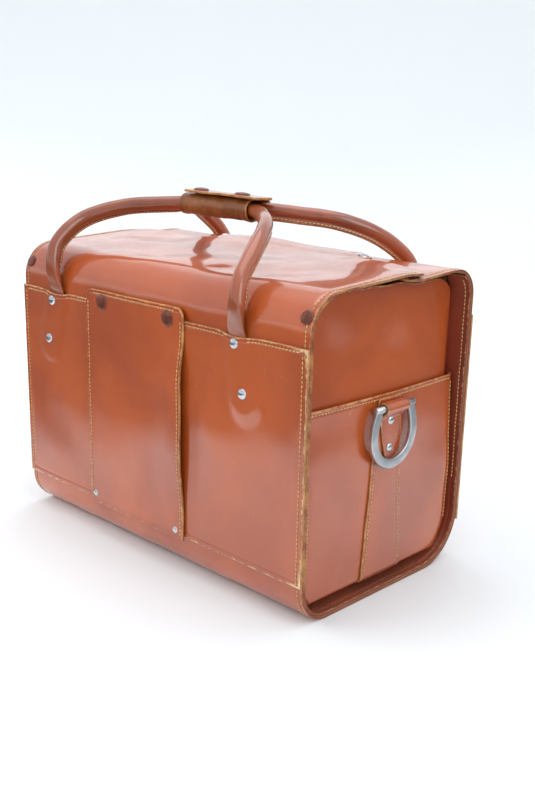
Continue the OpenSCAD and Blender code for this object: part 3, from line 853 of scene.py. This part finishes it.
# ---- ends
PLATE_X = mm_box("end_pocket_right")[0][0]
POCKET_X = mm_box("end_pleat_right")[0][0]
MOUTH_Z = mm_box("end_pocket_right")[1][2]
POCKET_LOW = mm_box("end_pocket_right")[0][2]
POCKET_HALF = mm_box("end_pocket_right")[1][1]
END_TOP = mm_box("end_panel_right")[1][2]
PLATE_FOOT = 2 * HIDE + 0.5
outline = Profile([(0, flap_z(0), 0), (-HALF_D, flap_z(-HALF_D), FRONT_R), (-HALF_D, 0, LOW_FRONT_R),
                   (HALF_D, 0, LOW_REAR_R), (HALF_D, REAR_TOP, REAR_R), (0, REAR_TOP, 0)])
turn_in = Profile([(HALF_L - 0.5, 2 * HIDE, 0), (PLATE_X - 5, 2 * HIDE, 0)])


def arc_side(z, low, low_r, high, high_r, inset):
    """Half width of one side of the end at a height: straight between two corner arcs."""
    return HALF_D - inset - corner_loss(low - z, low_r - inset) - corner_loss(z - high, high_r - inset)


def end_span(z, inset):
    """Front and rear limits of the end panel at a height."""
    return (-arc_side(z, LOW_FRONT_R, LOW_FRONT_R, ARC_Z, FRONT_R, inset),
            arc_side(z, LOW_REAR_R, LOW_REAR_R, REAR_TOP - REAR_R, REAR_R, inset))


def pocket_span(z):
    """Middle and half width of an end pocket at a height; its lower corners follow the flange's."""
    front, rear = end_span(z, 2 * HIDE + 1.4)
    front, rear = np.maximum(front, -POCKET_HALF), np.minimum(rear, POCKET_HALF)
    return (front + rear) / 2, (rear - front) / 2


def pocket_reach(y, z):
    """Distance inside an end pocket's outline."""
    mid, half = pocket_span(z)
    return np.minimum(np.minimum(half - abs(y - mid), MOUTH_Z - z), z - POCKET_LOW)


def pocket_height(y, z):
    """How far an end pocket stands off its panel."""
    mid, half = pocket_span(z)
    full = POCKET_X - PLATE_X - 2.4
    gap = np.minimum(half - abs(y - mid), z - POCKET_LOW)
    side = np.sqrt(1 - np.clip(1 - gap / 8, 0, 1) ** 2)
    return 2.4 + full * side * (1 - 0.4 * rise(z, 95, 90) * (abs(y) / POCKET_HALF) ** 2.4)


PLEAT_LOW, PLEAT_TOP, PLEAT_WIDE, PLEAT_NARROW = POCKET_LOW + 3, MOUTH_Z - 3, 29, 15.5
BAR_X, BAR_Z, ROLL_R, ROLL_HALF = HALF_L + 0.8, 178.5, 5.75, 16
PLEAT_SEAM = 3.6
TONGUE_X, TONGUE_LOW, TONGUE_HALF, TONGUE_TIP = POCKET_X + 4.3, 136, 7, 6.9
TONGUE_TOP, TAPER = 169.0, 34.5  # where the tongue turns to the bar, and the height it widens over
RING_RIVETS = (165, 139.5)


def pleat_half(z):
    """Half width of the pleat at a height."""
    return PLEAT_WIDE + (PLEAT_NARROW - PLEAT_WIDE) * (z - PLEAT_LOW) / (PLEAT_TOP - PLEAT_LOW)


def loop_profile():
    """Ring tab seen from the side: up the tongue, then around the bar."""
    start = np.array([TONGUE_X, TONGUE_TOP])
    centre = np.array([BAR_X, BAR_Z])
    gap = centre - start
    reach = np.linalg.norm(gap)
    lean = math.atan2(gap[1], gap[0]) - math.asin(ROLL_R / reach)
    touch = lean - math.pi / 2
    turn = [touch + (math.radians(205) - touch) * k / 40 for k in range(41)]
    arc = [(centre[0] + ROLL_R * math.cos(t), centre[1] + ROLL_R * math.sin(t), 0) for t in turn]
    return Profile([(TONGUE_X, TONGUE_LOW - TONGUE_TIP, 0), (start[0], start[1], 2.5)] + arc)


def end_panel(side, name):
    """The recessed end wall and the strip turned in around it."""
    def strip_fn(s, v):
        x, inset = turn_in.at(v)
        y, z = outline.at(s)
        ny, nz = outline.normal(s)
        inset = inset + 0.5 * waves(s, v * 0, 70, 21) * smooth(v / 8)
        return xyz(side * x, y - ny * inset, z - nz * inset)

    def plate_fn(z, v):
        front, rear = end_span(z, PLATE_FOOT)
        y = (front + rear) / 2 + v / 100 * (rear - front) / 2
        lift = 0.9 * waves(y, z, 90, 23) * rise(z, 185, 40) * fall(abs(v), 100, 40)
        top = rise(z, 262, 24)
        drop = top * (0.9 * waves(y, y * 0, 46, 24) + 2.6 * rise(y, 5, 60) + 3.0)
        behind = 0.72 * np.maximum(pocket_height(y, np.minimum(z, MOUTH_Z)) - 2.6, 0)
        behind = behind * smooth((z - MOUTH_Z + 60) / 50) * smooth((END_TOP - 6 - z) / 90)
        behind = behind * fall(abs(v), 99, 12)
        rim = np.minimum((100 - abs(v)) * (rear - front) / 200, z - PLATE_FOOT)
        return xyz(side * (PLATE_X - 0.2 + lift + behind - 2.8 * (1 - smooth(rim / 3.6))), y, z - drop)

    strip_face = Surface(strip_fn, side)
    s0 = outline.find(END_TOP + 1.6)
    s1 = outline.find(END_TOP + 2.0, after=outline.length / 2)
    # The strip's darker leather is painted shade for the recessed end.
    strip = sheet(strip_face, stops(s0, s1, 4.0), stops(0, turn_in.length, 1.6, ends=(1, 0)), 2.4,
                  [GUSSET_PAINTED_SHADE, GUSSET_PAINTED_SHADE, RIM_EDGE], groove=seam_groove(0.35), rims=(1, 1, 1, 0))
    plate = sheet(Surface(plate_fn, -side), stops(PLATE_FOOT, END_TOP, 4.0), stops(-100, 100, 3.4),
                  HIDE, OUTER, rims=(0, 1, 0, 0))
    s = np.arange(s0 + 6, s1 - 6, 2.0)
    y, z = outline.at(s)
    upright = (s[(z > 80) & (y < 0)], s[(z > 80) & (y > 0)])
    sewn = stitches([strip_face.frame(part, SEAM) for part in upright])
    piece(f"end_gusset_{name}", [strip, plate, sewn], f"end_panel_{name}")


def pocket_y(z, w):
    """Depth y at a pocket's own coordinate w, which reaches its two edges at every height."""
    mid, half = pocket_span(z)
    return mid + w * half / POCKET_HALF


def pocket_w(z, y):
    """A pocket's own coordinate w at a depth y: the inverse of pocket_y."""
    mid, half = pocket_span(z)
    return (y - mid) * POCKET_HALF / half


def pocket_surface(side):
    """An end pocket's face over (z, w)."""
    def fn(z, w):
        y = pocket_y(z, w)
        lift = pocket_height(y, z) + 0.5 * waves(y, z, 80, 25 + (side > 0)) * rise(z, 20, 40)
        return xyz(side * (PLATE_X + lift), y, z)
    return Surface(fn, -side)


def end_pocket(side, name):
    """The moulded pocket on an end."""
    def groove(z, w, d):
        line = np.where(MOUTH_Z - z < d + 0.01, TOP_SEAM, SEAM)
        return 0.45 * bump(d, line, 0.8) * smooth((z - POCKET_LOW - 14) / 6)

    face = pocket_surface(side)
    skin = sheet(face, stops(POCKET_LOW, MOUTH_Z, 4.0), stops(-POCKET_HALF, POCKET_HALF, 4.0), 2.3,
                 [RUSSET, SUEDE, RUSSET], reach=lambda z, w: pocket_reach(pocket_y(z, w), z), groove=groove)
    z = np.arange(POCKET_LOW + 30, MOUTH_Z - 4, 2.0)
    y = np.arange(-POCKET_HALF + 8, POCKET_HALF - 8, 2.0)
    mid, half = pocket_span(z)
    seam_z = MOUTH_Z - TOP_SEAM
    runs = [face.frame(z, pocket_w(z, mid + sign * (half - SEAM))) for sign in (-1, 1)]
    runs.append(face.frame(seam_z, pocket_w(seam_z, y)))
    piece(f"end_pocket_leather_{name}", [skin, stitches(runs)], f"end_pocket_{name}")


def end_pleat(side, name):
    """The tapered strip down the middle of an end pocket."""
    pocket = pocket_surface(side)

    def fn(z, w):
        y = w * pleat_half(z) / PLEAT_WIDE
        return pocket.fn(z, pocket_w(z, y)) + np.array([side * 2.0, 0, 0])

    def reach(z, w):
        across = pleat_half(z) * (1 - abs(w) / PLEAT_WIDE)
        return np.minimum(across, np.minimum(PLEAT_TOP - z, z - PLEAT_LOW))

    face = Surface(fn, -side)
    strip = sheet(face, stops(PLEAT_LOW, PLEAT_TOP, 4.0), stops(-PLEAT_WIDE, PLEAT_WIDE, 3.0), 2.0, OUTER,
                  reach=reach, groove=lambda z, w, d: 0.35 * bump(d, PLEAT_SEAM, 0.8) * fall(z, 126, 4))
    z = np.arange(PLEAT_LOW + 8, 122, 2.0)
    w = (pleat_half(z) - PLEAT_SEAM) * PLEAT_WIDE / pleat_half(z)
    runs = [face.frame(z, w), face.frame(z, -w)]
    piece(f"end_pleat_leather_{name}", [strip, stitches(runs)], f"end_pleat_{name}")


def ring_tab(side, name):
    """The leather loop that holds a ring, rolled over its bar above a tapered tongue."""
    loop = loop_profile()

    def half(s):
        z = TONGUE_LOW - TONGUE_TIP + np.asarray(s, float)
        tip = np.sqrt(np.clip(TONGUE_HALF ** 2 - np.clip(TONGUE_LOW - z, 0, TONGUE_HALF) ** 2, 0.5, None))
        taper = TONGUE_HALF + (ROLL_HALF - TONGUE_HALF) * np.clip((z - TONGUE_LOW) / TAPER, 0, 1)
        return np.where(z < TONGUE_LOW, tip, taper)

    def fn(s, w):
        x, z = loop.at(s)
        return xyz(side * x, w * half(s) / ROLL_HALF, z)

    def reach(s, w):
        return np.minimum(half(s) * (1 - abs(w) / ROLL_HALF), s + 0.1)

    skin = sheet(Surface(fn, -side), stops(0, loop.length, 1.0, ends=(1, 0)),
                 stops(-ROLL_HALF, ROLL_HALF, 1.6), 2.1, OUTER, reach=reach)
    piece(f"ring_loop_{name}", [skin], f"ring_tab_{name}")


def rounded(width, height, r, per=4):
    """Outline of a rounded rectangle."""
    pts = []
    for cx, cy, a0 in ((1, 1, 0), (-1, 1, 90), (-1, -1, 180), (1, -1, 270)):
        for k in range(per + 1):
            a = math.radians(a0 + 90 * k / per)
            pts.append((cx * (width / 2 - r) + r * math.cos(a), cy * (height / 2 - r) + r * math.sin(a)))
    return np.array(pts)


def ring(side, name):
    """Flat D-shaped ring with its bar."""
    centre_z, radius, band, depth = BAR_Z - 25, 28.0, 9.0, 4.5
    leg = [(21.5 + 6.5 * math.sin(math.pi * k / 24), BAR_Z + 1 - (26 * k / 12)) for k in range(12)]
    bend = [(radius * math.cos(a), centre_z + radius * math.sin(a)) for a in np.linspace(0, -math.pi, 61)]
    line = leg + bend + [(-y, z) for y, z in reversed(leg)]
    path = np.array([(side * BAR_X, y, z) for y, z in line])
    away = lengths(path)
    end_gap = np.minimum(away, away[-1] - away)
    shrink = np.sqrt(np.clip(1 - (1 - np.clip(end_gap / 5, 0, 1)) ** 2, 0.05, 1))
    sections = [rounded(band, depth, 1.3) * (f, 1) for f in shrink]
    band_part = swept(path, sections, (side, 0.0, 0.0), [SATIN])
    bar = turned([(0, -27.5), (2.6, -27.5), (3.2, -26.9), (3.2, 26.9), (2.6, 27.5), (0, 27.5)],
                 [((side * BAR_X, 0, BAR_Z), (0, 1, 0))], SATIN)
    piece(f"ring_metal_{name}", [band_part, bar], f"ring_{name}", body=f"ring_{name}", slot="ring_metal")


for side, name in ((1, "right"), (-1, "left")):
    for sub_part in (end_panel, end_pocket, end_pleat, ring_tab, ring):
        sub_part(side, name)


# ---- rolled handles
ROUTE = [(-147, -115.1, 226), (-144.2, -115.2, 236), (-141.6, -115.6, 245.5), (-141, -118.9, 254),
         (-141, -121.4, 275), (-145, -110.5, 298), (-141, -82, 319), (-119, -50, 331), (-90, -25, 334.8),
         (-76, -12.5, 335.6), (-66, -7.7, 336), (-54, -7.6, 336), (-19, -7.6, 336), (17, -7.6, 336),
         (29, -7.7, 336), (40, -12, 335.8), (60, -25, 334), (88, -50, 329.5), (109, -82, 316.5),
         (122, -111.5, 295), (127, -121.8, 274), (123.4, -118.9, 254), (122.7, -115.6, 245.5),
         (124.5, -115.2, 236), (126.6, -115.1, 226)]
ROLL = 7                        # radius of a rolled handle
FOOT_HALF = (10.4, 1.4)         # half width and half thickness of its flat feet
FIN, FIN_HALF = 3.8, 1.7        # height and half thickness of its sewn fin
GRIP_X = (mm_box("grip_sleeve")[0][0], mm_box("grip_sleeve")[1][0])


def curve_through(points, step):
    """Catmull-Rom curve through points, evenly spaced."""
    p = np.array([points[0]] + list(points) + [points[-1]], float)
    out = []
    for i in range(1, len(p) - 2):
        a, b, c, d = p[i - 1:i + 3]
        for t in np.linspace(0, 1, 24, endpoint=False):
            out.append(0.5 * (2 * b + (c - a) * t + (2 * a - 5 * b + 4 * c - d) * t ** 2
                              + (3 * b - a - 3 * c + d) * t ** 3))
    out = np.array(out + [p[-2]])
    s = lengths(out)
    at = np.linspace(0, s[-1], int(s[-1] / step))
    return np.stack([np.interp(at, s, out[:, k]) for k in range(3)], axis=1), at


def handle(front):
    """A rolled handle: flat feet, a round roll and a stitched fin along its inner side."""
    path, s = curve_through(ROUTE, 2.2)
    inward = 1 if front else -1
    path = path * (1, inward, 1)
    tangent = units(np.gradient(path, axis=0))
    high = rise(path[:, 2], 270, 30)[:, None]
    ups = (1 - high) * np.array([0, inward, 0.0]) + high * np.array([0, 0.62 * inward, -0.78])
    ups = units(ups - tangent * np.sum(ups * tangent, axis=1)[:, None])
    sides = np.cross(tangent, ups)
    sections, fin_base, fin_high = [], [], []
    around = np.radians(np.linspace(90 + 16, 90 + 344, 30))
    c, d = np.cos(around), np.sin(around)
    w = FIN_HALF
    for i, (x, _, z) in enumerate(path):
        k = rise(z, 248, 36)
        a, b = FOOT_HALF[0] + (ROLL - FOOT_HALF[0]) * k, FOOT_HALF[1] + (ROLL - FOOT_HALF[1]) * k
        power = 2 / (4 - 2 * k)
        cut = fall(x, GRIP_X[0], 10) + rise(x, GRIP_X[1], 10)
        fin = FIN * rise(z, 262, 14) * min(1.0, cut)
        dent = 1 + 0.022 * waves(s[i] * np.ones(30), around * 9, 26, 41) * k
        body = np.stack([a * np.sign(c) * abs(c) ** power, b * np.sign(d) * abs(d) ** power], axis=1)
        ends = np.array([(w, b + 0.25 * fin), (w, b + fin - 0.5), (w - 0.5, b + fin), (0.5 - w, b + fin),
                         (-w, b + fin - 0.5), (-w, b + 0.25 * fin)])
        sections.append(np.vstack([body * dent[:, None], ends]))
        fin_base.append(b)
        fin_high.append(fin)
    marks = [0] * 31 + [2, 2, 2] + [0, 0]
    part = swept(path, sections, ups, [HANDLE, HANDLE, CUT_EDGE], marks)
    runs = []
    fin_base, fin_high = np.array(fin_base), np.array(fin_high)
    on = np.arange(len(path))[fin_high > 2.9]
    for group in np.split(on, np.nonzero(np.diff(on) > 1)[0] + 1):
        seam = path[group] + ups[group] * (fin_base + 0.55 * fin_high)[group, None]
        runs += [(seam + sides[group] * sign * 1.72, sides[group] * sign) for sign in (-1, 1)]
    name = "front" if front else "rear"
    pivot = joint_place(f"{name}_handle_swing")[2]
    soft_piece(f"{name}_handle_leather", [part, stitches(runs)], f"{name}_handle", pivot - 3, pivot + 9,
               f"{name}_handle", f"{name}_handle_tabs")


for front in (True, False):
    handle(front)


# ---- grip around both handles
SLEEVE_LOW, SLEEVE_HIGH = mm_box("grip_sleeve")
COVER_LOW, COVER_HIGH = mm_box("grip_cover")
GRIP_SNAPS = ((-45, -7), (14, -7))
half = SLEEVE_HIGH[1]
sleeve_line = Profile([(0, SLEEVE_LOW[2], 0), (half, SLEEVE_LOW[2], 10.4), (half, SLEEVE_HIGH[2], 10.4),
                       (-half, SLEEVE_HIGH[2], 10.4), (-half, SLEEVE_LOW[2], 10.4), (0, SLEEVE_LOW[2], 0)])
FRONT_MID = sleeve_line.find((SLEEVE_LOW[2] + SLEEVE_HIGH[2]) / 2, after=sleeve_line.length / 2)


def sleeve_dent(s, x):
    """Creases of the grip, its flared ends, and the prints of two snaps on its front."""
    closed = smooth(s / 10) * smooth((sleeve_line.length - s) / 10)
    d = 0.45 * waves(s, x, 26, 51) + 0.3 * waves(s * 0.35, x, 8, 52)
    d = d + 0.9 * smooth((x - GRIP_X[1] + 9) / 9) + 0.5 * smooth((GRIP_X[0] + 8 - x) / 8)
    for px in (-40, 8):
        rho = np.hypot(x - px, s - FRONT_MID)
        d = d - 0.5 * bump(rho, 6.6, 1.1) + 0.25 * (1 - rise(rho, 4, 3))
    return d * closed


sleeve_face = over(sleeve_line, sleeve_dent)
sleeve = sheet(sleeve_face, stops(0, sleeve_line.length, 1.5, ends=(0, 0)), stops(*GRIP_X, 1.5), 2.1,
               [RUSSET_DARK, SUEDE, CUT_EDGE], rims=(0, 0, 1, 1))
piece("grip_sleeve_leather", [sleeve], "grip_sleeve", body="front_handle", slot="leather_dark")


def cover_fn(x, y):
    """Lies a little open at its front edge and runs down towards its right end."""
    z = COVER_HIGH[2] + 0.9 * (COVER_HIGH[1] - y) / (COVER_HIGH[1] - COVER_LOW[1])
    z = z + 0.25 * waves(x, y, 50, 55)
    return xyz(x, y, z - 0.9 * rise(x, 8, 36) + 0.6 * smooth((-20 - x) / 30))


def cover_trim(x, y):
    """Rounds the cover's four corners."""
    free = np.minimum(x - COVER_LOW[0], COVER_HIGH[0] - x)
    return x, narrowed(y, (COVER_LOW[1], COVER_HIGH[1]), 6, free)


cover_face = Surface(cover_fn)
cover = sheet(cover_face, stops(COVER_LOW[0], COVER_HIGH[0], 3.0), stops(COVER_LOW[1], COVER_HIGH[1], 3.0),
              HIDE, OUTER, trim=cover_trim)
piece("grip_cover_leather", [cover], "grip_cover", body="grip_cover")


# ---- press studs and rivets
def cap_shape(r, h, under):
    """A press stud's cap: rolled rim, shallow dome, and its socket below the leather."""
    dome = [(r * c, 0.55 + (h - 0.55) * math.sqrt(1 - c * c)) for c in (0.93, 0.84, 0.7, 0.52, 0.3, 0.12)]
    return ([(0, -under), (3.9, -under), (4.1, -0.3), (r - 0.5, -0.3), (r, 0.0), (r, 0.35), (r - 0.25, 0.55)]
            + dome + [(0, h)])


def rivet_shape(r, h, through):
    """A rivet: domed head, shank, and a flat head inside."""
    dome = [(r * math.cos(a), h * math.sin(a)) for a in np.radians((8, 20, 35, 50, 65, 80))]
    return ([(0, -through - 1), (r * 0.8, -through - 1), (r * 0.85, -through), (1.8, -through), (1.8, -0.2),
             (r, -0.2), (r, 0.1)] + dome + [(0, h)])


def seats(face, places):
    """Points and normals where hardware sits on a surface."""
    return [tuple(w[0] for w in face.frame(np.array([u]), np.array([v]))) for u, v in places]


ring_seats = [((side * TONGUE_X, 0, z), (side, 0, 0)) for side in (-1, 1) for z in RING_RIVETS]
corner_x, corner_z = HALF_L - 8, 271
corners = [[(line.find(corner_z), x) for x in (-corner_x, corner_x)] for line in (wrap_line, rear_line)]
tab_snaps = [(TAB_Y - 70, x) for x in (-92, 104)]
handle_rivet, big_cap = rivet_shape(5, 2.9, 10.2), cap_shape(7.7, 2.4, HIDE)
corner_cap, tab_cap = cap_shape(6.2, 2.2, HIDE), cap_shape(6.2, 2.4, HIDE)
FINISH = {"nickel": NICKEL, "snap_brown": ENAMEL}
HARDWARE = (
    ("front_rivets", "case", "nickel", handle_rivet, seats(overlay_face(True), RIVETS),
     "front_handle_rivets"),
    ("rear_rivets", "case", "nickel", handle_rivet, seats(overlay_face(False), RIVETS), "rear_handle_rivets"),
    ("ring_rivets", "case", "nickel", rivet_shape(4.3, 2.0, 6.5), ring_seats, "ring_tab_rivets"),
    ("strap_rivets", "case", "nickel", rivet_shape(3.5, 1.7, 4.5), seats(strap_face, STRAP_RIVETS),
     "pocket_flap_rivets"),
    ("strap_caps", "pocket_flap", "snap_brown", big_cap, seats(strap_face, STRAP_SNAPS), "pocket_flap_caps"),
    ("front_corner_snaps", "front_flap", "snap_brown", corner_cap, seats(wrap_face, corners[0]),
     "front_corner_caps"),
    ("rear_corner_snaps", "rear_flap", "snap_brown", corner_cap, seats(rear_face, corners[1]),
     "rear_corner_caps"),
    ("closing_snaps", "front_flap", "nickel", tab_cap, seats(tab_face, tab_snaps), "closing_tab_caps"),
    ("grip_snaps", "grip_cover", "snap_brown", big_cap, seats(cover_face, GRIP_SNAPS), "grip_cover_caps"),
)
for name, body, slot, shape, places, node in HARDWARE:
    piece(name, [turned(shape, places, FINISH[slot], 40)], node, body=body, slot=slot)


# ---- floor, light and camera
ACROSS_SWEEP = (0.717, 0.697)   # direction on the floor across the white sweep


def paper_with_painted_shade():
    """A white sweep along the camera's view, with shade painted dark on the floor and lower wall on both
    sides of it.
    """
    m = Nodes("paper_with_painted_shade")
    x, y = m.split("X"), m.split("Y")
    across = m.maths("ADD", m.times(x, ACROSS_SWEEP[0]), m.times(y, ACROSS_SWEEP[1]))
    along = m.maths("ADD", m.times(x, -ACROSS_SWEEP[1]), m.times(y, ACROSS_SWEEP[0]))
    spread = m.times(m.maths("MAXIMUM", along, 0.0), 0.35)
    left = m.ramp(m.maths("SUBTRACT", m.times(across, -1.0), spread), 0.34, 0.58)
    right = m.ramp(m.maths("SUBTRACT", across, spread), 0.48, 0.85)
    # Painted shade: the floor and lower wall go dark on both sides of the sweep, standing in for an unlit
    # studio there.
    painted_shade = m.times(m.maths("MAXIMUM", left, right), m.ramp(m.split("Z"), 0.05, 0.5, 1.0, 0.0))
    color = m.mix(painted_shade, (0.86, 0.88, 0.89, 1.0), (0.10, 0.10, 0.105, 1.0))
    return m.finish(color, 0.9, Specular_IOR_Level=0.15)


def cyclorama():
    """The floor, which curves up into a wall all round and is open at the top."""
    flat, bend, wall = 2200, 900, 3600
    angles = np.radians(np.arange(7.5, 91, 7.5))
    curve = [(flat + bend * math.sin(a), bend * (1 - math.cos(a))) for a in angles]
    verts, faces = lathe([(0, 0), (400, 0), (1200, 0), (flat, 0)] + curve + [(flat + bend, wall)], 96)
    stage = build("backdrop", Part(verts, faces, [paper_with_painted_shade()]))


cyclorama()
MIDDLE = (0, 0, 0.15)


def softbox(name, place, size, power, color=(1, 1, 1), mirrored=True):
    """A soft light towards the middle of the bag; mirrored says whether gloss reflects it."""
    data = bpy.data.lights.new(name, "AREA")
    data.shape = "RECTANGLE"
    data.size, data.size_y = size
    data.energy = power
    data.color = color
    lamp = bpy.data.objects.new(name, data)
    bpy.context.scene.collection.objects.link(lamp)
    lamp.location = place
    lamp.visible_glossy = mirrored
    lamp.visible_camera = False
    lamp.rotation_mode = "QUATERNION"
    lamp.rotation_quaternion = (Vector(MIDDLE) - Vector(place)).to_track_quat("-Z", "Y")


softbox("sky", (0.0, 0.3, 2.6), (2.6, 2.2), 25, (0.97, 0.99, 1.0))
softbox("left", (-2.0, -2.0, 1.3), (3.0, 2.4), 67, (1.0, 0.98, 0.96), mirrored=False)
softbox("right", (2.1, -0.1, 1.3), (1.2, 1.6), 12, (1.0, 0.98, 0.96))
softbox("back", (-1.6, 1.65, 1.35), (3.6, 1.4), 7)
world = bpy.data.worlds.new("studio")
world.use_nodes = True
world.node_tree.nodes["Background"].inputs["Color"].default_value = (0.90, 0.95, 1.0, 1.0)
world.node_tree.nodes["Background"].inputs["Strength"].default_value = 0.92
bpy.context.scene.world = world

azimuth, elevation, roll = (math.radians(a) for a in (44.18, 15.88, 1.33))
DISTANCE, FOCAL, SENSOR = 1.038, 45.24, 36.0
target = np.array([0.0248, 0.0231, 0.1411])
back = np.array([math.sin(azimuth) * math.cos(elevation), -math.cos(azimuth) * math.cos(elevation),
                 math.sin(elevation)])
right = unit(np.cross(-back, (0, 0, 1.0)))
up = np.cross(right, -back)
across = math.cos(roll) * right + math.sin(roll) * up
above = -math.sin(roll) * right + math.cos(roll) * up
lens = bpy.data.cameras.new("camera")
lens.lens, lens.sensor_width, lens.sensor_fit = FOCAL, SENSOR, "AUTO"
lens.clip_start, lens.clip_end = 0.05, 20
camera = bpy.data.objects.new("camera", lens)
bpy.context.scene.collection.objects.link(camera)
view = np.column_stack([across, above, back, target + back * DISTANCE])
camera.matrix_world = Matrix(view.tolist() + [[0, 0, 0, 1]])
bpy.context.scene.camera = camera
bpy.context.scene.view_settings.view_transform = "Standard"
bpy.context.scene.view_settings.exposure = 0.0
